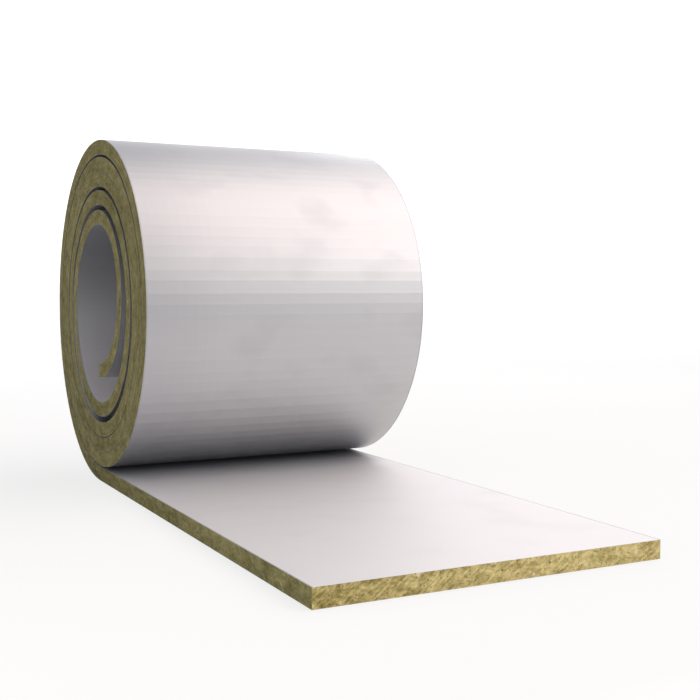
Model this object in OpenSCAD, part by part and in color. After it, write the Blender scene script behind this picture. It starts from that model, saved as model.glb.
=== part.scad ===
// Insulation roll: a stone-wool mat with a foil facing on both faces, wound up with its free end
// unrolled on the floor. The roll's axis runs along X, the free end points to -Y and the floor is
// z = 0. The origin is on the floor below the roll's axis, midway across the mat.

/* [Mat] */
// Thickness of the wool, without its facings
wool_t = 30; // [20:1:50]
// Width of the mat, which is the length of the roll
mat_w = 600; // [300:10:1200]
// Thickness of each foil facing
foil_t = 0.2; // [0.1:0.05:0.5]

/* [Winding] */
// Height of the roll above the floor
roll_h = 726; // [650:1:1200]
// Gaps between turns along the top of the roll, from the outside in
top_gaps = [5, 0.8, 7.5, 11]; // [0.5:0.1:20]
// Gaps between turns along the bottom of the roll, from the free end in to the loose tail
bottom_gaps = [2.4, 0.8, 2, 13, 53]; // [0.5:0.1:60]

/* [Free end] */
// Length that lies flat on the floor, from below the roll's axis to the cut edge
flap_len = 1065; // [300:5:3000]

/* [Hidden] */

// The mat is wound from half turns: each rises from the bottom to the top of the roll behind the
// axis, or falls from the top to the bottom in front of it, so neighbours meet tangent to each other.
mat_t = wool_t + 2 * foil_t;
half_turns = 2 * len(bottom_gaps);

function sum(list, count) = count == 0 ? 0 : list[count - 1] + sum(list, count - 1);

// Height of the mat's outer face where it passes the bottom and the top of the roll, for each turn
function bottom_z(turn) = turn * mat_t + sum(bottom_gaps, turn);
function top_z(turn) = roll_h - turn * mat_t - sum(top_gaps, turn);

// Ends of half turn i: it starts where the one before it stops
function low_z(i) = bottom_z(ceil(i / 2));
function high_z(i) = top_z(floor(i / 2));
function half_turn_r(i) = (high_z(i) - low_z(i)) / 2;
function half_turn_z(i) = (high_z(i) + low_z(i)) / 2;

// Half ring about the X axis, behind the axis for even i and in front of it for odd i
module half_turn(i, depth, t) {
  start_angle = i % 2 == 0 ? -90 : 90;
  translate([0, 0, half_turn_z(i)])
    rotate([90, 0, 90])
      rotate([0, 0, start_angle])
        rotate_extrude(angle = 180, $fn = 128)
          translate([half_turn_r(i) - depth - t, -mat_w / 2])
            square([t, mat_w]);
}

// One layer of the mat from its cut edge to its loose tail: t thick, depth below the outer face
module wound_layer(depth, t) {
  translate([-mat_w / 2, -flap_len, depth])
    cube([mat_w, flap_len, t]);
  for (i = [0 : half_turns - 1])
    half_turn(i, depth, t);
}

// Stone wool, one strip
module wool_mat() {
  color([0.45, 0.42, 0.26])
    wound_layer(foil_t, wool_t);
}

// Facing on the upper face of the free end, which is the inside of every turn
module inner_foil() {
  color([0.84, 0.83, 0.85])
    wound_layer(foil_t + wool_t, foil_t);
}

// Facing on the underside of the free end, which is the outside of every turn
module outer_foil() {
  color([0.84, 0.83, 0.85])
    wound_layer(0, foil_t);
}

wool_mat();
inner_foil();
outer_foil();
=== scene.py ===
"""Dresses the insulation roll: a stone-wool mat with foil on both faces, wound up, one end on the floor.

Lengths are in metres, in the frame's axes: X along the roll's axis, -Y towards the cut edge of the
free end and +Z up from the floor. A place in the mat has three measures: run, the length along the
mat from the cut edge on the floor to the loose end in the core; across, which is X; and depth, from
the mat's outer face, which is the underside of the free end, to its inner face.
"""
import logging
import math
from dataclasses import dataclass
from enum import Enum
from functools import cached_property

import bmesh
import bpy
import numpy as np
from mathutils import Euler, Matrix, Vector

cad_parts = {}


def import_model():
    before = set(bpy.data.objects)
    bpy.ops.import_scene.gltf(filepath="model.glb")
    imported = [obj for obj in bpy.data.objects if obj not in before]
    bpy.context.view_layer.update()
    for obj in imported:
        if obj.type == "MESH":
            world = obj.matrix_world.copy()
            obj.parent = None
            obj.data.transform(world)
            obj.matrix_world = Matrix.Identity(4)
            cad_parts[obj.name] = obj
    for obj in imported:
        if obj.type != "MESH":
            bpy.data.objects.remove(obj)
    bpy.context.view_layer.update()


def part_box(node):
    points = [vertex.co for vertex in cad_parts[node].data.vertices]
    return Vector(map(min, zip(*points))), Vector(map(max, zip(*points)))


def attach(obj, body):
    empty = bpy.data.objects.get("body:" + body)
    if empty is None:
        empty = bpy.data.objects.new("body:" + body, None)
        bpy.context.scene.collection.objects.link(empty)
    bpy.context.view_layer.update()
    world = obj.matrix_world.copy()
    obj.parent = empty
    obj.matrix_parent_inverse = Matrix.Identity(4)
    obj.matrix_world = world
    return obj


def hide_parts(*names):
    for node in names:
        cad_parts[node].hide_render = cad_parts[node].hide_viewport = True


LOG = logging.getLogger("insulation_roll")
Array = np.ndarray
Colour = tuple[float, float, float]
Span = tuple[float, float]
Socket = bpy.types.NodeSocket

BODY = "root"
MAT_UV = "mat"
ZONE = "zone"
WELD_DISTANCE = 2e-6
SHARP_ANGLE = math.radians(50.0)

# Gaps between turns, as in the part's source: along the top of the roll from the outside in, and
# along its bottom from the free end in to the loose end.
TOP_GAPS = (0.005, 0.0008, 0.0075, 0.011)
BOTTOM_GAPS = (0.0024, 0.0008, 0.002, 0.013, 0.053)


class MatFace(Enum):
    """The two faces of the mat, with the name of the facing on each."""

    OUTER = "outer_foil"
    INNER = "inner_foil"


class SlitEdge(Enum):
    """The mat's two long edges, with the side of the roll that each is on."""

    LEFT = -1.0
    RIGHT = 1.0


def smooth_step(t: Array) -> Array:
    """Ease from 0 to 1: 3 t^2 - 2 t^3, with t held between 0 and 1."""
    t = np.clip(t, 0.0, 1.0)
    return t * t * (3.0 - 2.0 * t)


def lattice_noise(u: Array, v: Array, seed: int) -> Array:
    """Smooth noise from -1 to 1 over the plane.

    Each whole-numbered lattice point gets a value hashed from its place, and a point between four of
    them blends their values by the eased shares of its cell.

    Args:
        u: First coordinate, in cells.
        v: Second coordinate, in cells.
        seed: Picks one pattern.

    Returns:
        The noise at each point.
    """
    u, v = np.broadcast_arrays(u, v)
    cell_u = np.floor(u).astype(np.int64)
    cell_v = np.floor(v).astype(np.int64)
    ease_u = smooth_step(u - cell_u)
    ease_v = smooth_step(v - cell_v)

    def corner(step_u: int, step_v: int) -> Array:
        """Hashed value at one corner of every point's cell.

        Args:
            step_u: 0 for the lower corner along u, 1 for the upper one.
            step_v: The same along v.

        Returns:
            A value from -1 to 1 for each point.
        """
        mixed = (cell_u + step_u) * 374761393 + (cell_v + step_v) * 668265263 + seed * 974634777
        mixed &= 0xFFFFFFFF
        mixed = ((mixed ^ (mixed >> 13)) * 1274126177) & 0xFFFFFFFF
        return ((mixed ^ (mixed >> 16)) & 0xFFFF) / 32767.5 - 1.0

    low = corner(0, 0) * (1.0 - ease_u) + corner(1, 0) * ease_u
    high = corner(0, 1) * (1.0 - ease_u) + corner(1, 1) * ease_u
    return low * (1.0 - ease_v) + high * ease_v


def quads(grid: Array) -> Array:
    """Four-cornered faces between neighbouring rows and columns of a grid of vertex numbers."""
    corners = (grid[:-1, :-1], grid[:-1, 1:], grid[1:, 1:], grid[1:, :-1])
    return np.stack(corners, axis=-1).reshape(-1, 4)


@dataclass(frozen=True)
class Winding:
    """The mat's course, seen along the roll's axis.

    The free end is straight. Then come half turns, each tangent to the next: those with even numbers
    rise behind the axis from the bottom of the roll to its top, the others fall in front of it.
    """

    width: float
    mat_t: float
    foil_t: float
    free_len: float
    roll_h: float
    flats_each: int = 48
    crease_height: float = 0.00004
    crease_reach: float = 0.0015

    @classmethod
    def from_frame(cls) -> "Winding":
        """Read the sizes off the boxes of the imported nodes.

        Returns:
            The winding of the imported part.
        """
        low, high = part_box("outer_foil")
        foil_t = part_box("wool_mat")[0].z - low.z
        mat_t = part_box("inner_foil")[0].z + foil_t
        return cls(high.x - low.x, mat_t, foil_t, -low.y, high.z)

    def half_turns(self) -> tuple[Array, Array]:
        """Circle of each half turn, from the outside in.

        Each goes from the height of the mat's outer face at the bottom of its turn to that at the top,
        so its centre is halfway between them and its radius is half their distance.

        Returns:
            Height of the centre, and outer radius, of each half turn.
        """
        bottoms = np.concatenate(([0.0], np.cumsum(np.add(BOTTOM_GAPS, self.mat_t))))
        drops = np.concatenate(([0.0], np.cumsum(np.add(TOP_GAPS, self.mat_t))))
        number = np.arange(2 * len(BOTTOM_GAPS))
        low = bottoms[(number + 1) // 2]
        high = self.roll_h - drops[number // 2]
        return (high + low) / 2, (high - low) / 2

    def stations(self) -> Array:
        """Ends of the mat's parts, from the free end's length and half a circle of each middle radius.

        Returns:
            Run at the cut edge, at the start of each half turn and at the loose end.
        """
        radius = self.half_turns()[1]
        lengths = np.concatenate(([self.free_len], math.pi * (radius - self.mat_t / 2)))
        return np.concatenate(([0.0], np.cumsum(lengths)))

    def length(self) -> float:
        """Whole length of the mat along its middle."""
        return float(self.stations()[-1])

    @cached_property
    def flat_ends(self) -> Array:
        """Ends of the small flats that the foil breaks into as each half turn bends.

        Each half turn is divided in even shares, each made up to 15 % longer or shorter by chance.

        Returns:
            Run at the ends of the flats.
        """
        stations = self.stations()[1:]
        half_turns = len(stations) - 1
        shares = np.random.default_rng(11).uniform(0.85, 1.15, (half_turns, self.flats_each))
        shares = np.cumsum(shares, axis=1) / shares.sum(axis=1, keepdims=True)
        ends = stations[:-1, None] + shares * np.diff(stations)[:, None]
        return np.concatenate((stations[:1], ends.ravel()))

    def flats(self, run: Array) -> Array:
        """Depth by which the wound mat is flattened between the ends of its flats.

        Over a chord c of a turn of radius r, a flat lies 4 t (1 - t) c^2 / 8 r below the arc, where t
        goes from 0 to 1 along the chord. Where two flats meet, the foil stands up in a crease, whose
        height falls off evenly on both sides.

        Args:
            run: Places along the mat.

        Returns:
            The depth at each place, 0 on the free end.
        """
        ends = self.flat_ends
        chord = np.clip(np.searchsorted(ends, run, side="right") - 1, 0, len(ends) - 2)
        size = ends[chord + 1] - ends[chord]
        share = np.clip((run - ends[chord]) / size, 0.0, 1.0)
        radius = self.half_turns()[1][self.half_turn_at(run)]
        from_end = size * np.minimum(np.where(chord > 0, share, 1.0), 1.0 - share)
        crease = self.crease_height * np.clip(1.0 - from_end / self.crease_reach, 0.0, 1.0)
        return share * (1.0 - share) * size**2 / (2.0 * radius) - crease

    def half_turn_at(self, run: Array) -> Array:
        """Half turn that each place is on.

        Args:
            run: Places along the mat.

        Returns:
            Number of the half turn, which is 0 on the free end as well.
        """
        stations = self.stations()
        part = np.searchsorted(stations, run, side="right") - 2
        return np.clip(part, 0, len(stations) - 3)

    def place(self, run: Array, across: Array, depth: Array) -> Array:
        """Position of places in the mat.

        On the free end, y = run - free length and z = depth. On a half turn with outer radius r, the
        angle a is the run from its start divided by the radius of the mat's middle, and the place is
        at (r - depth) sin a in y and (r - depth) cos a below the centre in z, both turned round for a
        half turn in front of the axis.

        Args:
            run: Places along the mat.
            across: Places across the mat, which are x.
            depth: Depths below the mat's outer face.

        Returns:
            Points with x, y and z as the last axis.
        """
        run, across, depth = np.broadcast_arrays(run, across, depth)
        centre, radius = self.half_turns()
        turn = self.half_turn_at(run)
        flat = run < self.free_len
        angle = (run - self.stations()[turn + 1]) / (radius[turn] - self.mat_t / 2)
        side = np.where(turn % 2 == 0, 1.0, -1.0)
        reach = side * (radius[turn] - depth - self.flats(run))
        y = np.where(flat, run - self.free_len, reach * np.sin(angle))
        z = np.where(flat, depth, centre[turn] - reach * np.cos(angle))
        return np.stack((across, y, z), axis=-1)


class MeshSketch:
    """Collects patches of a surface, each with its own vertices, and welds them into one mesh."""

    def __init__(self) -> None:
        """Start with no patches."""
        self.points: list[Array] = []
        self.faces: list[list[int]] = []
        self.corner_uv: list[Array] = []
        self.face_zones: list[Array] = []
        self.count = 0

    def grid(self, points: Array, uv: Array, zone: float | Array = 0.0) -> Array:
        """Add a patch with rows and columns.

        Args:
            points: Positions, with rows, columns and x, y, z as axes.
            uv: Flat coordinates of the same points, in metres.
            zone: Value that the patch's faces carry, one for all or for rows and columns of faces.

        Returns:
            The grid of the patch's vertex numbers.
        """
        rows, columns = points.shape[:2]
        local = np.arange(rows * columns).reshape(rows, columns)
        faces = quads(local)
        self.corner_uv.append(uv.reshape(-1, 2)[faces.ravel()])
        self.face_zones.append(np.broadcast_to(zone, (rows - 1, columns - 1)).ravel())
        self.faces.extend((faces + self.count).tolist())
        self.points.append(points.reshape(-1, 3))
        numbers = local + self.count
        self.count += rows * columns
        return numbers

    def tubes(self, rings: Array, uv: Array, zone: Array) -> None:
        """Add many closed tubes of the same make.

        Args:
            rings: Positions, with tubes, rings, sides and x, y, z as axes.
            uv: Flat coordinates of each tube, which all its faces share.
            zone: Value that each tube's faces carry.
        """
        tubes, count, sides = rings.shape[:3]
        local = np.arange(count * sides).reshape(count, sides)
        walls = quads(np.concatenate((local, local[:, :1]), axis=1))
        first = self.count + np.arange(tubes)[:, None, None] * count * sides
        self.faces.extend((first + walls).reshape(-1, 4).tolist())
        self.faces.extend((first + np.stack((local[0, ::-1], local[-1]))).reshape(-1, sides).tolist())
        wall_corners, cap_corners = 4 * len(walls), 2 * sides
        self.corner_uv.append(np.repeat(uv, wall_corners, axis=0))
        self.corner_uv.append(np.repeat(uv, cap_corners, axis=0))
        self.face_zones.append(np.repeat(zone, len(walls)))
        self.face_zones.append(np.repeat(zone, 2))
        self.points.append(rings.reshape(-1, 3))
        self.count += tubes * count * sides

    def polygon(self, numbers: Array) -> None:
        """Add one face through vertices that patches already have.

        Args:
            numbers: The vertex numbers, in order round the face.
        """
        self.faces.append(numbers.tolist())
        self.corner_uv.append(np.zeros((len(numbers), 2)))
        self.face_zones.append(np.zeros(1))

    def closed(self, name: str) -> bpy.types.Object:
        """Weld the patches where they meet, turn the faces outwards and make the object.

        Args:
            name: Name of the piece.

        Returns:
            The object, smooth-shaded, at the origin.
        """
        mesh = bpy.data.meshes.new(name)
        mesh.from_pydata(np.concatenate(self.points).tolist(), [], self.faces)
        layer = mesh.uv_layers.new(name=MAT_UV)
        layer.data.foreach_set("uv", np.concatenate(self.corner_uv).astype(np.float32).ravel())
        zones = mesh.attributes.new(ZONE, "FLOAT", "FACE")
        zones.data.foreach_set("value", np.concatenate(self.face_zones).astype(np.float32))
        shell = bmesh.new()
        shell.from_mesh(mesh)
        bmesh.ops.remove_doubles(shell, verts=shell.verts, dist=WELD_DISTANCE)
        bmesh.ops.recalc_face_normals(shell, faces=shell.faces)
        shell.to_mesh(mesh)
        shell.free()
        mesh.shade_smooth()
        mesh.set_sharp_from_angle(angle=SHARP_ANGLE)
        piece = bpy.data.objects.new(name, mesh)
        bpy.context.scene.collection.objects.link(piece)
        return piece


class NodeSketch:
    """Adds nodes to one node tree, with each input given as a number, a colour or another output."""

    def __init__(self, tree: bpy.types.NodeTree) -> None:
        """Start from an empty tree."""
        tree.nodes.clear()
        self.tree = tree

    def add(self, kind: str, inputs: dict | None = None, **settings: object) -> bpy.types.Node:
        """Add a node.

        Args:
            kind: Blender's name for the node, without its leading "ShaderNode".
            inputs: What each input takes, by the input's name or number.
            settings: The node's own settings.

        Returns:
            The node.
        """
        node = self.tree.nodes.new("ShaderNode" + kind)
        for setting, value in settings.items():
            setattr(node, setting, value)
        for key, value in (inputs or {}).items():
            if isinstance(value, Socket):
                self.tree.links.new(value, node.inputs[key])
            else:
                node.inputs[key].default_value = value
        return node

    def maths(self, operation: str, first: object, second: object = 0.0) -> Socket:
        """Result of one sum on two values."""
        return self.add("Math", {0: first, 1: second}, operation=operation).outputs[0]

    def remap(self, value: Socket, low: float, high: float, to_low: float, to_high: float) -> Socket:
        """Carry a value from one range to another, and hold it there."""
        ends = {"Value": value, "From Min": low, "From Max": high, "To Min": to_low, "To Max": to_high}
        return self.add("MapRange", ends, clamp=True).outputs[0]

    def share(self, share: object, first: object, second: object) -> Socket:
        """Mix two values by a share of the second."""
        return self.add("Mix", {0: share, 2: first, 3: second}, data_type="FLOAT").outputs[0]

    def blend(self, share: object, first: object, second: object) -> Socket:
        """Mix two colours.

        Args:
            share: Share of the second colour.
            first: The first colour.
            second: The second colour.

        Returns:
            The mixed colour.
        """
        node = self.add("Mix", data_type="RGBA")
        for number, value in ((0, share), (6, first), (7, second)):
            if isinstance(value, Socket):
                self.tree.links.new(value, node.inputs[number])
            else:
                node.inputs[number].default_value = value if number == 0 else (*value, 1.0)
        return node.outputs[2]

    def stretched(self, vector: Socket, scale: Colour, turn: float = 0.0) -> Socket:
        """Turn coordinates in the surface, and then scale them along their axes.

        Args:
            vector: The coordinates.
            scale: Scale along each axis.
            turn: Angle of the turn, in radians.

        Returns:
            The new coordinates.
        """
        turned = self.add("VectorRotate", {"Vector": vector, "Angle": turn}, rotation_type="Z_AXIS")
        scaled = self.add("VectorMath", {0: turned.outputs[0], 1: scale}, operation="MULTIPLY")
        return scaled.outputs[0]

    def noise(self, vector: Socket, detail: float, harshness: float = 0.5) -> Socket:
        """Noise from 0 to 1, one cell to a unit of the coordinates, with finer layers of lesser weight."""
        inputs = {"Vector": vector, "Scale": 1.0, "Detail": detail, "Roughness": harshness}
        return self.add("TexNoise", inputs, noise_dimensions="2D").outputs[0]


def new_group(name: str, inputs: dict[str, str], outputs: tuple[str, ...]) -> tuple[NodeSketch, dict]:
    """Start a shader node group with named sockets.

    Args:
        name: Name of the effect.
        inputs: Kind of socket for each named input.
        outputs: Names of the values that it puts out.

    Returns:
        The sketch of the group's tree, and its input sockets by name.
    """
    tree = bpy.data.node_groups.new(name, "ShaderNodeTree")
    for socket, kind in inputs.items():
        tree.interface.new_socket(socket, in_out="INPUT", socket_type="NodeSocket" + kind)
    for socket in outputs:
        tree.interface.new_socket(socket, in_out="OUTPUT", socket_type="NodeSocketFloat")
    sketch = NodeSketch(tree)
    entry = tree.nodes.new("NodeGroupInput")
    return sketch, {socket: entry.outputs[socket] for socket in inputs}


def close_group(sketch: NodeSketch, results: dict[str, Socket]) -> bpy.types.NodeTree:
    """Join a group's results to its outputs.

    Args:
        sketch: Sketch of the group's tree.
        results: The value that each named output takes.

    Returns:
        The group.
    """
    leave = sketch.tree.nodes.new("NodeGroupOutput")
    for socket, value in results.items():
        sketch.tree.links.new(value, leave.inputs[socket])
    return sketch.tree


def fibre_group() -> bpy.types.NodeTree:
    """Matted fibre.

    Clouds, clumps and mottle are noise, from broad to fine. Streaks are noise drawn out along the mat,
    and strands are noise drawn out along two slants, in patches, both on gently bent coordinates. Pits,
    specks and tufts are round spots in a few of the cells of three scattered patterns; the pits are
    painted shade of small hollows that the mesh does not have.

    Returns:
        The group.
    """
    sketch, given = new_group(
        "Matted fibre",
        {"Place": "Vector", "Slant": "Float"},
        ("Clouds", "Clumps", "Mottle", "Streaks", "Strands", "Pits", "Specks", "Tufts"),
    )
    place = given["Place"]
    clouds = sketch.noise(sketch.stretched(place, (2.0, 3.0, 1.0)), 1.0)
    clumps = sketch.noise(sketch.stretched(place, (24.0, 46.0, 1.0)), 2.0)
    mottle = sketch.noise(sketch.stretched(place, (110.0, 130.0, 1.0)), 4.0, 0.68)
    waves = {"Vector": place, "Scale": 30.0, "Detail": 1.0}
    warp = sketch.add("TexNoise", waves, noise_dimensions="2D").outputs["Color"]
    push = sketch.add("VectorMath", {0: warp, 1: (0.006, 0.006, 0.0)}, operation="MULTIPLY")
    bent = sketch.add("VectorMath", {0: place, 1: push.outputs[0]}, operation="ADD").outputs[0]
    streaks = sketch.noise(sketch.stretched(bent, (34.0, 115.0, 1.0)), 4.0, 0.66)
    layers = []
    for share, scale in ((-1.0, (60.0, 240.0, 1.0)), (0.45, (66.0, 250.0, 1.0))):
        angle = sketch.maths("MULTIPLY", given["Slant"], share)
        turned = sketch.add("VectorRotate", {"Vector": bent, "Angle": angle}, rotation_type="Z_AXIS")
        layers.append(sketch.noise(sketch.stretched(turned.outputs[0], scale), 4.0, 0.62))
    patches = sketch.noise(sketch.stretched(place, (26.0, 40.0, 1.0)), 1.0)
    first = sketch.remap(patches, 0.36, 0.48, 0.0, 1.0)
    strands = sketch.share(first, layers[1], layers[0])
    masks = []
    for scale, size, kept in ((190.0, 0.32, 0.16), (48.0, 0.1, 0.12), (31.0, 0.12, 0.14)):
        cells = sketch.add("TexVoronoi", {"Vector": bent, "Scale": scale}, voronoi_dimensions="2D")
        chance = sketch.add("SeparateColor", {0: cells.outputs["Color"]}).outputs[0]
        near = sketch.remap(cells.outputs["Distance"], size * 0.4, size, 1.0, 0.0)
        masks.append(sketch.maths("MULTIPLY", near, sketch.maths("LESS_THAN", chance, kept)))
    results = {"Clouds": clouds, "Clumps": clumps, "Mottle": mottle}
    results.update({"Streaks": streaks, "Strands": strands})
    results.update(zip(("Pits", "Specks", "Tufts"), masks))
    return close_group(sketch, results)


def foil_group() -> bpy.types.NodeTree:
    """Foil skin: noise drawn out to fine lines across the mat, a fine grain and broad soft smudges.

    Returns:
        The group.
    """
    sketch, given = new_group("Foil skin", {"Place": "Vector"}, ("Lines", "Grain", "Smudges"))
    place = given["Place"]
    lines = sketch.noise(sketch.stretched(place, (160.0, 1.2, 1.0)), 3.0)
    grain = sketch.noise(sketch.stretched(place, (900.0, 900.0, 1.0)), 2.0)
    smudges = sketch.noise(sketch.stretched(place, (11.0, 8.0, 1.0)), 2.0)
    return close_group(sketch, {"Lines": lines, "Grain": grain, "Smudges": smudges})


@dataclass(frozen=True)
class WoolFinish:
    """Bonded stone wool, dull: olive on slit edges, partly painted shade; straw-coloured on cut ends."""

    group: bpy.types.NodeTree
    # The slit colours are the cut ends' hue made darker, partly as painted shade on the mat's sides.
    slit_dark: Colour = (0.14, 0.127, 0.048)
    slit_light: Colour = (0.362, 0.334, 0.157)
    cut_dark: Colour = (0.25, 0.207, 0.062)
    cut_light: Colour = (0.77, 0.665, 0.315)
    # Pits: dark spots painted as the shade inside small hollows, which the mesh lacks.
    pit_shade: Colour = (0.12, 0.105, 0.04)
    speck: Colour = (0.045, 0.05, 0.055)
    tuft: Colour = (0.76, 0.7, 0.46)
    slant: float = 0.6
    mottle_span: Span = (0.32, 0.68)
    strand_span: Span = (0.33, 0.67)
    broad_span: Span = (0.3, 0.7)
    slit_streaks: float = 0.5
    slit_strands: float = 0.36
    cut_strands: float = 0.55
    pit_shade_share: float = 0.7
    roughness: Span = (0.98, 0.85)
    bump_share: float = 0.7
    bump_depth: float = 0.0015

    def material(self) -> bpy.types.Material:
        """Material for the mat, on its own flat coordinates.

        Returns:
            The material, which reads how much of a cut end each face is from the zone.
        """
        material = bpy.data.materials.new("stone_wool")
        material.use_nodes = True
        sketch = NodeSketch(material.node_tree)
        place = sketch.add("UVMap", uv_map=MAT_UV).outputs[0]
        fibre = sketch.add("Group", {}, node_tree=self.group)
        sketch.tree.links.new(place, fibre.inputs["Place"])
        fibre.inputs["Slant"].default_value = self.slant
        cut = sketch.add("Attribute", attribute_name=ZONE).outputs["Fac"]
        mottle = sketch.remap(fibre.outputs["Mottle"], *self.mottle_span, 0.0, 1.0)
        streaks = sketch.remap(fibre.outputs["Streaks"], *self.strand_span, 0.0, 1.0)
        strands = sketch.remap(fibre.outputs["Strands"], *self.strand_span, 0.0, 1.0)
        along_slit = sketch.share(self.slit_streaks, mottle, streaks)
        along_slit = sketch.share(self.slit_strands, along_slit, strands)
        tone = sketch.share(cut, along_slit, sketch.share(self.cut_strands, mottle, strands))
        for layer, reach in (("Clouds", 0.15), ("Clumps", 0.2)):
            broad = sketch.remap(fibre.outputs[layer], *self.broad_span, -reach, reach)
            tone = sketch.maths("ADD", tone, broad)
        slit = sketch.blend(tone, self.slit_dark, self.slit_light)
        end = sketch.blend(tone, self.cut_dark, self.cut_light)
        colour = sketch.blend(cut, slit, end)
        # Painted shade of small pits over the colour.
        pit_shades = sketch.maths("MULTIPLY", fibre.outputs["Pits"], self.pit_shade_share)
        colour = sketch.blend(pit_shades, colour, self.pit_shade)
        for mask, hue, on_slit in (("Tufts", self.tuft, 0.3), ("Specks", self.speck, 0.35)):
            strength = sketch.remap(cut, 0.0, 1.0, on_slit, 1.0)
            spots = sketch.maths("MULTIPLY", fibre.outputs[mask], strength)
            colour = sketch.blend(spots, colour, hue)
        relief = {"Height": tone, "Strength": self.bump_share, "Distance": self.bump_depth}
        bump = sketch.add("Bump", relief)
        shader = sketch.add(
            "BsdfPrincipled",
            {
                "Base Color": colour,
                "Roughness": sketch.remap(tone, 0.0, 1.0, *self.roughness),
                "Normal": bump.outputs[0],
                "Specular IOR Level": 0.1,
            },
        )
        sketch.add("OutputMaterial", {"Surface": shader.outputs[0]})
        return material


@dataclass(frozen=True)
class FoilFinish:
    """Satin aluminium foil with fine lines, a fine grain and smudges, and painted shade and wear on it."""

    group: bpy.types.NodeTree
    name: str
    clean: Colour = (0.597, 0.608, 0.626)
    dull: Colour = (0.56, 0.571, 0.59)
    # Painted shade colours, half and deep: at the nip, between the turns, in the core and at the left end;
    # along the slit edges they stand partly for wear.
    half_shade_and_wear: Colour = (0.545, 0.555, 0.578)
    deep_shade_and_wear: Colour = (0.256, 0.267, 0.296)
    roughness: float = 0.43
    line_depth: float = 0.00009
    grain_depth: float = 0.00003
    smudge_span: Span = (0.54, 0.76)
    smudge_dulling: float = 0.02

    def material(self) -> bpy.types.Material:
        """Material for one facing, on its own flat coordinates.

        Returns:
            The material, which reads each face's painted shade, and wear along the slit edges, from the
            zone.
        """
        material = bpy.data.materials.new(self.name)
        material.use_nodes = True
        sketch = NodeSketch(material.node_tree)
        place = sketch.add("UVMap", uv_map=MAT_UV).outputs[0]
        skin = sketch.add("Group", {}, node_tree=self.group)
        sketch.tree.links.new(place, skin.inputs["Place"])
        smudges = sketch.remap(skin.outputs["Smudges"], *self.smudge_span, 0.0, 1.0)
        colour = sketch.blend(smudges, self.clean, self.dull)
        # The zone paints shade: from 0 to 1 it blends towards half shade, from 1 to 2 towards deep shade;
        # along the slit edges it is partly wear.
        shade_and_wear_level = sketch.add("Attribute", attribute_name=ZONE).outputs["Fac"]
        colour = sketch.blend(sketch.remap(shade_and_wear_level, 0.0, 1.0, 0.0, 1.0), colour, self.half_shade_and_wear)
        colour = sketch.blend(sketch.remap(shade_and_wear_level, 1.0, 2.0, 0.0, 1.0), colour, self.deep_shade_and_wear)
        gloss = sketch.maths("MULTIPLY_ADD", smudges, self.smudge_dulling)
        gloss.node.inputs[2].default_value = self.roughness
        lines = sketch.add("Bump", {"Height": skin.outputs["Lines"], "Distance": self.line_depth})
        relief = {"Height": skin.outputs["Grain"], "Distance": self.grain_depth}
        grain = sketch.add("Bump", {**relief, "Normal": lines.outputs[0]})
        shader = sketch.add(
            "BsdfPrincipled",
            {"Base Color": colour, "Metallic": 1.0, "Roughness": gloss, "Normal": grain.outputs[0]},
        )
        sketch.add("OutputMaterial", {"Surface": shader.outputs[0]})
        return material


def dress(piece: bpy.types.Object, material: bpy.types.Material) -> None:
    """Give a piece its material, let it ride on the roll's body, and log its number of faces.

    Args:
        piece: The finished piece.
        material: The material that it gets.
    """
    piece.data.materials.append(material)
    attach(piece, BODY)
    LOG.info("%s: %d faces", piece.name, len(piece.data.polygons))


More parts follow.
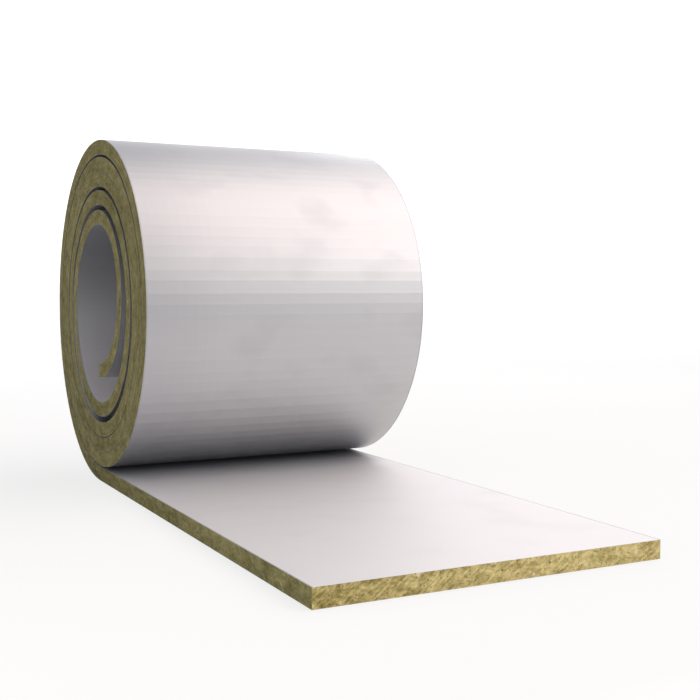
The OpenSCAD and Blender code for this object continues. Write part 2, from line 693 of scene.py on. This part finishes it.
@dataclass
class WoolMat:
    """The stone wool, with fibrous relief on its slit edges and cut ends."""

    winding: Winding
    run_step: float = 0.0034
    depth_cells: int = 12
    across_cells: int = 240
    clump_height: float = 0.0008
    strand_height: float = 0.0006
    border: float = 0.004
    inset: float = 0.0012
    end_shift: float = 6.38
    clump_cell: Span = (0.014, 0.007)
    strand_cell: Span = (0.011, 0.0035)
    strand_slant: Span = (0.7, 0.2)

    def depths(self) -> Array:
        """Depths of the wool's rows, from under one facing to under the other."""
        foil_t = self.winding.foil_t
        return np.linspace(foil_t, self.winding.mat_t - foil_t, self.depth_cells + 1)

    def relief(self, along: Array, depth: Array, length: float, seed: int) -> Array:
        """Height of the fibre above a cut surface.

        Clumps are noise in broad cells, and strands are noise in long slanting cells. Both ease to
        nothing at the surface's borders, where the foil and the corners hold the fibre.

        Args:
            along: Places along the surface.
            depth: Depths below the mat's outer face.
            length: Length of the surface.
            seed: Picks one pattern.

        Returns:
            The height at each place.
        """
        clumps = lattice_noise(along / self.clump_cell[0], depth / self.clump_cell[1], seed)
        lengthwise = (along + self.strand_slant[0] * depth) / self.strand_cell[0]
        sideways = (depth - self.strand_slant[1] * along) / self.strand_cell[1]
        strands = lattice_noise(lengthwise, sideways, seed + 1)
        edge = np.minimum(depth - self.winding.foil_t, self.winding.mat_t - self.winding.foil_t - depth)
        edge = np.minimum(edge, np.minimum(along, length - along))
        height = self.clump_height * clumps + self.strand_height * strands
        return smooth_step(edge / self.border) * height

    def build(self) -> bpy.types.Object:
        """Make the closed mesh of the wool: two slit edges, two cut ends and the faces under the foil.

        The edges and ends are grids in the mat that stand out by the relief. The faces under the foil
        lie deeper by the inset, away from the slit edges, so the foil's flats and dents clear them.

        Returns:
            The piece.
        """
        winding = self.winding
        half = winding.width / 2
        length = winding.length()
        run = np.linspace(0.0, length, int(length / self.run_step) + 1)
        depth = self.depths()
        sketch = MeshSketch()

        grid_run, grid_depth = np.meshgrid(run, depth, indexing="ij")
        for edge in SlitEdge:
            rise = self.relief(grid_run, grid_depth, length, 3 + int(edge.value))
            points = winding.place(grid_run, edge.value * (half + rise), grid_depth)
            sketch.grid(points, np.stack((grid_run, grid_depth + edge.value), axis=-1))

        across = np.linspace(-half, half, self.across_cells + 1)
        grid_across, cut_depth = np.meshgrid(across, depth, indexing="ij")
        ends = []
        for place, outwards, seed in ((0.0, -1.0, 21), (length, 1.0, 31)):
            rise = self.relief(grid_across + half, cut_depth, winding.width, seed)
            points = winding.place(place + outwards * rise, grid_across, cut_depth)
            uv = np.stack((grid_across + self.end_shift * outwards, cut_depth), axis=-1)
            ends.append(sketch.grid(points, uv, zone=1.0))

        columns = np.array((-half, self.border - half, half - self.border, half))
        sunk = np.array((0.0, self.inset, self.inset, 0.0))
        for side, face_depth, inwards in ((0, depth[0], 1.0), (-1, depth[-1], -1.0)):
            rows = run[1:-1, None]
            points = winding.place(rows, columns, face_depth + inwards * sunk)
            uv = np.stack(np.broadcast_arrays(rows, columns), axis=-1)
            face = sketch.grid(points, uv)
            for end, row in ((ends[0], face[0]), (ends[1], face[-1])):
                sketch.polygon(np.concatenate((end[:, side], row[::-1])))
        return sketch.closed("wool_mat_fibre")


class CutSurface(Enum):
    """The bare surfaces of the wool that loose fibres stand out of."""

    LEFT_EDGE = "left_edge_fibres"
    RIGHT_EDGE = "right_edge_fibres"
    FREE_END = "free_end_fibres"
    LOOSE_END = "loose_end_fibres"


@dataclass
class LooseFibres:
    """Thin bundles of fibre that the knife has pulled out of one bare surface of the wool."""

    winding: Winding
    surface: CutSurface
    density: float = 16000.0
    shortest: float = 0.004
    longest: float = 0.014
    thickness: float = 0.00028
    lift: float = 0.0022
    rings: int = 5
    sides: int = 3
    most_bend: float = 0.35
    rise_share: Span = (0.3, 1.0)
    dive_share: Span = (0.55, 1.0)
    girth_share: Span = (0.5, 1.0)
    tip: float = 0.08
    end_zone: Span = (0.6, 1.0)
    edge_zone: Span = (0.0, 0.35)

    def spread(self) -> float:
        """Length of the surface along which the fibres are scattered."""
        on_edge = self.surface in (CutSurface.LEFT_EDGE, CutSurface.RIGHT_EDGE)
        return self.winding.length() if on_edge else self.winding.width

    def on_surface(self, along: Array, depth: Array, out: Array) -> Array:
        """Position of places above the surface.

        Args:
            along: Places along the surface.
            depth: Depths below the mat's outer face.
            out: Distances out from the surface.

        Returns:
            Points with x, y and z as the last axis.
        """
        half = self.winding.width / 2
        if self.surface is CutSurface.LEFT_EDGE:
            return self.winding.place(along, -half - out, depth)
        if self.surface is CutSurface.RIGHT_EDGE:
            return self.winding.place(along, half + out, depth)
        if self.surface is CutSurface.FREE_END:
            return self.winding.place(-out, along - half, depth)
        return self.winding.place(self.winding.length() + out, along - half, depth)

    def build(self) -> bpy.types.Object:
        """Make all the surface's fibres as one mesh of closed tubes.

        With t from 0 to 1 along a fibre, its middle goes t times its length along its heading, bends
        aside with t squared and rises with the sine of a share of half a turn, so some fibres dive back
        into the wool and some end in the air. Its thickness falls off towards both ends as a sine.

        Returns:
            The piece.
        """
        winding = self.winding
        draws = np.random.default_rng(sum(map(ord, self.surface.value)))
        margin = winding.foil_t + 2.0 * self.thickness
        count = int(self.density * self.spread() * winding.mat_t)

        def drawn(low: float, high: float) -> Array:
            """One even draw for each fibre, as a column."""
            return draws.uniform(low, high, (count, 1))

        start = drawn(self.longest, self.spread() - self.longest)
        level = drawn(margin, winding.mat_t - margin)
        heading = drawn(0.0, 2.0 * math.pi)
        length = drawn(self.shortest, self.longest)
        bend = drawn(-self.most_bend, self.most_bend) * length
        rise = drawn(*self.rise_share) * self.lift
        dive = drawn(*self.dive_share)
        girth = drawn(*self.girth_share) * self.thickness / 2
        t = np.linspace(0.0, 1.0, self.rings)
        along = start + length * t * np.cos(heading) - bend * t**2 * np.sin(heading)
        depth = level + length * t * np.sin(heading) + bend * t**2 * np.cos(heading)
        depth = np.clip(depth, margin, winding.mat_t - margin)
        out = rise * np.sin(math.pi * dive * t)
        radius = girth * np.sin(math.pi * (self.tip + (1.0 - 2.0 * self.tip) * t))

        turn = 2.0 * math.pi * np.arange(self.sides) / self.sides
        aside = radius[..., None] * np.cos(turn)
        above = radius[..., None] * np.sin(turn)
        ring_along = along[..., None] - aside * np.sin(heading)[..., None]
        ring_depth = depth[..., None] + aside * np.cos(heading)[..., None]
        rings = self.on_surface(ring_along, ring_depth, out[..., None] + above)
        on_end = self.surface in (CutSurface.FREE_END, CutSurface.LOOSE_END)
        zone = draws.uniform(*(self.end_zone if on_end else self.edge_zone), count)
        sketch = MeshSketch()
        sketch.tubes(rings, np.concatenate((start, level), axis=1), zone)
        return sketch.closed(self.surface.value)


@dataclass
class FoilFacing:
    """One foil facing: a thin closed sheet glued to the wool, with painted shade; slit edges worn too.

    Attributes:
        winding: The mat's course.
        face: The face of the mat that it is glued to.
        step: Distance between rows where the facing is hidden or lies flat.
        creases: Distances of the rows on both sides of each crease between two flats.
        columns: Number of columns across the mat.
        edge: Width of the worn and shaded strip along each slit edge.
        edge_wear_and_shade: Darkening of that strip, partly wear and partly painted shade.
        shade_reach: Length over which the painted shade builds up along the mat.
        nip_shadow_reach: Length over which the painted shadow deepens where the facing goes under the
            roll.
        left_shade_reach: Distance from the left end to which the outer facing takes painted shade.
        core_shade: Painted shade at the top of the core.
        core_shade_rise: How much faster than the height the painted shade grows there.
        dent: Depth of the dents.
        dent_cells: Length and width of the cells of the broad and the fine dents.
        dent_ease: Length over which the dents ease to nothing along the mat, and across it.
    """

    winding: Winding
    face: MatFace
    step: float = 0.012
    creases: tuple[float, float, float] = (0.0005, 0.0015, 0.0026)
    columns: int = 33
    edge: float = 0.0022
    edge_wear_and_shade: float = 1.3
    shade_reach: float = 0.13
    nip_shadow_reach: float = 0.26
    left_shade_reach: float = 0.19
    core_shade: float = 1.8
    core_shade_rise: float = 1.15
    dent: float = 0.00025
    dent_cells: tuple[Span, Span] = ((0.09, 0.11), (0.03, 0.05))
    dent_ease: Span = (0.06, 0.03)

    def shown_parts(self) -> Array:
        """Find the parts of the mat that show this facing.

        Returns:
            Whether each part shows it, the free end first and then each half turn.
        """
        parts = np.zeros(len(self.winding.stations()) - 1, dtype=bool)
        if self.face is MatFace.OUTER:
            parts[1:3] = True
            parts[-1] = True
        else:
            parts[0] = True
            parts[-2:] = True
        return parts

    def runs(self) -> Array:
        """Rows along the mat: even steps, or on half turns that show, rows beside each crease.

        Returns:
            Run at each row.
        """
        stations = self.winding.stations()
        ends = self.winding.flat_ends[:, None]
        beside = ends + np.array(self.creases)
        beside = np.sort(np.concatenate((beside.ravel(), (2.0 * ends - beside).ravel())))
        rows = []
        for number, shown in enumerate(self.shown_parts()):
            low, high = stations[number], stations[number + 1]
            if shown and number > 0:
                rows.append(beside[(beside > low) & (beside < high)])
            else:
                rows.append(np.linspace(low, high, int((high - low) / self.step), endpoint=False))
        return np.concatenate((*rows, stations[-1:]))

    def dents(self, run: Array, across: Array) -> Array:
        """Depth of the broad soft dents that handling leaves where the facing shows.

        The depth is a broad noise and a finer noise of a third of its weight. It eases to nothing at
        the slit edges and at the ends of each shown stretch.

        Args:
            run: Places along the mat.
            across: Places across the mat.

        Returns:
            The depth at each place.
        """
        stations = self.winding.stations()
        shown = np.concatenate(([False], self.shown_parts(), [False]))
        share = np.zeros_like(run)
        for start, stop in zip(*(np.flatnonzero(np.diff(shown.astype(int)) == d) for d in (1, -1))):
            inside = np.minimum(run - stations[start], stations[stop] - run)
            share = np.maximum(share, smooth_step(inside / self.dent_ease[0]))
        edge = smooth_step((self.winding.width / 2 - np.abs(across)) / self.dent_ease[1])
        seed = 41 if self.face is MatFace.OUTER else 51
        broad, fine = (
            lattice_noise(run / long, across / wide, seed + number)
            for number, (long, wide) in enumerate(self.dent_cells)
        )
        return self.dent * share * edge * (broad + fine / 3.0)

    def painted_shade_along(self, run: Array) -> Array:
        """Painted shade on the facing along the mat: 0 none, 1 half shade and 2 deep shade.

        The outer facing takes half shade towards the place where it goes under the roll. The inner one
        takes a painted shadow that deepens there and stays deep between the turns. In the last two turns
        it is unshaded at the bottom of the core and eases with the height to nearly deep shade at the top.

        Args:
            run: Places along the mat.

        Returns:
            The painted shade at each place.
        """
        stations = self.winding.stations()
        if self.face is MatFace.OUTER:
            return smooth_step((run - stations[3]) / self.shade_reach + 1.0)
        height = self.winding.place(run, 0.0, self.winding.mat_t)[..., 2]
        low, high = self.winding.place(stations[9:11], 0.0, self.winding.mat_t)[:, 2]
        core = self.core_shade * smooth_step(self.core_shade_rise * (height - low) / (high - low))
        between = 2.0 * smooth_step((run - stations[1]) / self.nip_shadow_reach + 1.0)
        share = smooth_step((run - stations[7]) / self.shade_reach)
        return between * (1.0 - share) + core * share

    def left_end_shade(self, across: Array) -> Array:
        """Painted shade on the outer facing near its left end.

        Args:
            across: Places across the mat.

        Returns:
            The painted shade at each place, eased from 1 at the left end to 0.
        """
        if self.face is MatFace.INNER:
            return np.zeros_like(across)
        return smooth_step(1.0 - (across + self.winding.width / 2) / self.left_shade_reach)

    def build(self) -> bpy.types.Object:
        """Make the sheet: a grid in the mat at each of its two depths, joined round all four edges.

        Returns:
            The piece.
        """
        winding = self.winding
        half = winding.width / 2
        run = self.runs()[:, None]
        across = np.linspace(self.edge - half, half - self.edge, self.columns - 2)
        across = np.concatenate(([-half], across, [half]))
        dents = self.dents(*np.broadcast_arrays(run, across))
        near, far = (0.0, winding.foil_t)
        if self.face is MatFace.INNER:
            near, far = (winding.mat_t - winding.foil_t, winding.mat_t)
        uv = np.stack(np.broadcast_arrays(run, across), axis=-1)
        # Across the facing: painted shade towards the left end, and along each slit edge a strip that is
        # partly wear and partly painted shade.
        shade_and_wear_across = self.left_end_shade((across[:-1] + across[1:]) / 2)
        shade_and_wear_across[[0, -1]] = self.edge_wear_and_shade
        shade_and_wear_level = np.maximum(self.painted_shade_along((run[:-1] + run[1:]) / 2), shade_and_wear_across)
        sketch = MeshSketch()
        low = sketch.grid(winding.place(run, across, near + dents), uv, shade_and_wear_level)
        high = sketch.grid(winding.place(run, across, far + dents), uv, shade_and_wear_level)
        # The walls round the sheet's edges take zone 1, the half-shade colour: painted shade.
        for edge in (np.s_[0, :], np.s_[-1, :], np.s_[:, 0], np.s_[:, -1]):
            points = np.concatenate(sketch.points)
            strip = np.stack((low[edge], high[edge]))
            sketch.grid(points[strip], np.stack((uv[edge], uv[edge])), zone=1.0)
        return sketch.closed(self.face.value + "_sheet")


@dataclass
class Studio:
    """Pale floor, soft light all round that is strongest from behind and the right, and the camera.

    Each span gives the two ends of an even ramp: distances for the floor, and for the light the share
    of a way of looking that points to the right, up, to the glow or to the backdrop.
    """

    floor_drop: float = 0.0006
    floor_reach: float = 30.0
    camera_place: Colour = (-0.91728, -2.36803, 0.43247)
    camera_turn: float = math.radians(27.3101)
    camera_down: float = math.radians(3.5858)
    camera_roll: float = math.radians(0.1099)
    lens_mm: float = 57.442
    sensor_mm: float = 36.0
    floor_pale: Colour = (0.86, 0.855, 0.85)
    floor_glow: float = 0.76
    mirrored_glow: float = 0.2
    glow_rise: Span = (0.6, 2.6)
    far_fade: Span = (5.0, 15.0)
    front_fade: Span = (-2.4, -1.45)
    room_level: float = 0.36
    room_tilt: Colour = (0.08, 0.06, 0.28)
    strip_level: float = 0.98
    strip_rise: Span = (0.27, 0.64)
    strip_fall: Span = (0.7, 0.95)
    strip_foot: Span = (-0.35, 0.0)
    strip_rest: float = 0.2
    glow_way: Colour = (0.75, -0.25, 0.61)
    glow_level: float = 0.78
    glow_span: Span = (0.59, 0.91)
    backdrop_level: float = 1.35
    backdrop_span: Span = (0.7, 0.9)
    room_hue: Colour = (0.985, 0.975, 1.0)
    glow_hue: Colour = (1.0, 0.74, 0.61)
    backdrop_way: Colour = (0.46, 0.888, 0.0)

    def floor(self) -> bpy.types.Object:
        """Floor just below the mat, which fades into the room in front of the mat and far from it.

        To the camera it is nearly white, and quite white behind the roll, and it keeps a share of the
        shadow. The foil mirrors a dimmer floor.

        Returns:
            The floor.
        """
        reach = self.floor_reach
        side = np.linspace(-reach, reach, 3)
        x, y = np.meshgrid(side, side, indexing="ij")
        points = np.stack((x, y, np.full_like(x, -self.floor_drop)), axis=-1)
        sketch = MeshSketch()
        sketch.grid(points, points[..., :2])
        floor = sketch.closed("floor")
        material = bpy.data.materials.new("pale_floor")
        material.use_nodes = True
        nodes = NodeSketch(material.node_tree)
        place = nodes.add("TexCoord").outputs["Object"]
        ahead = nodes.add("SeparateXYZ", {0: place}).outputs["Y"]
        matt = nodes.add("BsdfDiffuse", {"Color": (*self.floor_pale, 1.0)})
        glow = nodes.add("Emission", {"Color": (1.0, 1.0, 1.0, 1.0), "Strength": 1.0})
        path = nodes.add("LightPath")
        mirrored = nodes.maths("MULTIPLY", path.outputs["Is Glossy Ray"], self.mirrored_glow)
        seen = nodes.maths("MAXIMUM", path.outputs["Is Camera Ray"], mirrored)
        seen = nodes.maths("MAXIMUM", seen, path.outputs["Is Transmission Ray"])
        share = nodes.maths("MULTIPLY", seen, nodes.remap(ahead, *self.glow_rise, self.floor_glow, 1.0))
        mixed = nodes.add("MixShader", {0: share, 1: matt.outputs[0], 2: glow.outputs[0]})
        distance = nodes.add("VectorMath", {0: place}, operation="LENGTH").outputs["Value"]
        gone = nodes.remap(distance, *self.far_fade, 0.0, 1.0)
        gone = nodes.maths("MAXIMUM", gone, nodes.remap(ahead, *self.front_fade, 1.0, 0.0))
        clear = nodes.add("BsdfTransparent")
        mixed = nodes.add("MixShader", {0: gone, 1: mixed.outputs[0], 2: clear.outputs[0]})
        nodes.add("OutputMaterial", {"Surface": mixed.outputs[0]})
        floor.data.materials.append(material)
        return floor

    def world(self) -> None:
        """Light from every side: a dim room, a strip to the right, a warm glow and a white backdrop."""
        world = bpy.data.worlds.new("studio_light")
        world.use_nodes = True
        nodes = NodeSketch(world.node_tree)
        way = nodes.add("TexCoord").outputs["Generated"]

        def towards(direction: Colour) -> Socket:
            """How far a way of looking points along a direction."""
            dot = nodes.add("VectorMath", {0: way, 1: direction}, operation="DOT_PRODUCT")
            return dot.outputs["Value"]

        room = nodes.maths("ADD", towards(self.room_tilt), self.room_level)
        parts = nodes.add("SeparateXYZ", {0: way})
        across = parts.outputs["X"]
        strip = nodes.remap(across, *self.strip_rise, 0.0, self.strip_level)
        falling = nodes.remap(across, *self.strip_fall, 1.0, self.strip_rest)
        strip = nodes.maths("MULTIPLY", strip, falling)
        rising = nodes.remap(parts.outputs["Z"], *self.strip_foot, self.strip_rest, 1.0)
        strip = nodes.maths("MULTIPLY", strip, rising)
        room = nodes.maths("ADD", room, strip)
        backdrop = towards(self.backdrop_way)
        backdrop = nodes.remap(backdrop, *self.backdrop_span, 0.0, self.backdrop_level)
        level = nodes.maths("MAXIMUM", room, backdrop)
        glow = nodes.remap(towards(self.glow_way), *self.glow_span, 0.0, self.glow_level)
        cool = nodes.add("Background", {"Color": (*self.room_hue, 1.0), "Strength": level})
        warm = nodes.add("Background", {"Color": (*self.glow_hue, 1.0), "Strength": glow})
        light = nodes.add("AddShader", {0: cool.outputs[0], 1: warm.outputs[0]})
        nodes.add("OutputWorld", {"Surface": light.outputs[0]})
        bpy.context.scene.world = world

    def lamp(self, name: str, place: Colour, aim: Colour, size: float, watts: float, hue: Colour) -> None:
        """Add a square soft lamp that points at a place.

        Args:
            name: Name of the lamp.
            place: Where it stands.
            aim: The place that it points at.
            size: Length of its sides.
            watts: Its power.
            hue: Its colour.
        """
        data = bpy.data.lights.new(name, "AREA")
        data.size = size
        data.energy = watts
        data.color = hue
        lamp = bpy.data.objects.new(name, data)
        lamp.location = place
        lamp.rotation_euler = (Vector(aim) - Vector(place)).to_track_quat("-Z", "Y").to_euler()
        bpy.context.scene.collection.objects.link(lamp)

    def camera(self) -> None:
        """Camera at the photograph's viewing angle, fitted to the roll's outlines."""
        data = bpy.data.cameras.new("camera")
        data.sensor_width = self.sensor_mm
        data.lens = self.lens_mm
        camera = bpy.data.objects.new("camera", data)
        level = Euler((math.pi / 2 - self.camera_down, 0.0, -self.camera_turn)).to_matrix()
        turn = level @ Matrix.Rotation(self.camera_roll, 3, "Z")
        camera.matrix_world = Matrix.Translation(self.camera_place) @ turn.to_4x4()
        bpy.context.scene.collection.objects.link(camera)
        bpy.context.scene.camera = camera

    def build(self) -> None:
        """Set up the floor, the light and the camera."""
        self.camera()
        self.floor()
        self.world()
        self.lamp("overhead", (0.9, -1.0, 3.0), (0.1, -0.4, 0.4), 2.0, 3.4, (1.0, 0.9, 0.86))
        self.lamp("right", (1.2, -1.9, 1.4), (0.2, -1.0, 0.1), 1.0, 2.5, (1.0, 0.95, 0.9))
        self.lamp("front", (-0.9, -4.4, 1.4), (0.0, -1.0, 0.1), 1.5, 9.6, (1.0, 0.96, 0.92))
        self.lamp("low_left", (-1.35, -1.3, 0.3), (-0.3, -0.8, 0.0), 0.5, 2.2, (1.0, 0.98, 0.95))
        self.lamp("rim", (2.2, 2.0, 1.6), (0.1, -0.6, 0.1), 1.5, 12.0, (1.0, 0.97, 0.97))
        bpy.context.scene.view_settings.view_transform = "Standard"


def main() -> None:
    """Build the studio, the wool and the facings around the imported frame."""
    logging.basicConfig(level=logging.INFO, format="%(message)s")
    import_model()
    Studio().build()
    winding = Winding.from_frame()
    LOG.info("mat length %.3f m", winding.length())

    wool = WoolMat(winding).build()
    wool_finish = WoolFinish(fibre_group()).material()
    dress(wool, wool_finish)
    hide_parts("wool_mat")
    for surface in CutSurface:
        dress(LooseFibres(winding, surface).build(), wool_finish)

    skin = foil_group()
    finishes = {
        MatFace.OUTER: FoilFinish(skin, "outer_foil_satin"),
        MatFace.INNER: FoilFinish(
            skin,
            "inner_foil_satin",
            clean=(0.764, 0.76, 0.772),
            dull=(0.751, 0.747, 0.759),
            roughness=0.7,
        ),
    }
    for face in MatFace:
        sheet = FoilFacing(winding, face).build()
        dress(sheet, finishes[face].material())
        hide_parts(face.value)


if __name__ == "__main__":
    main()
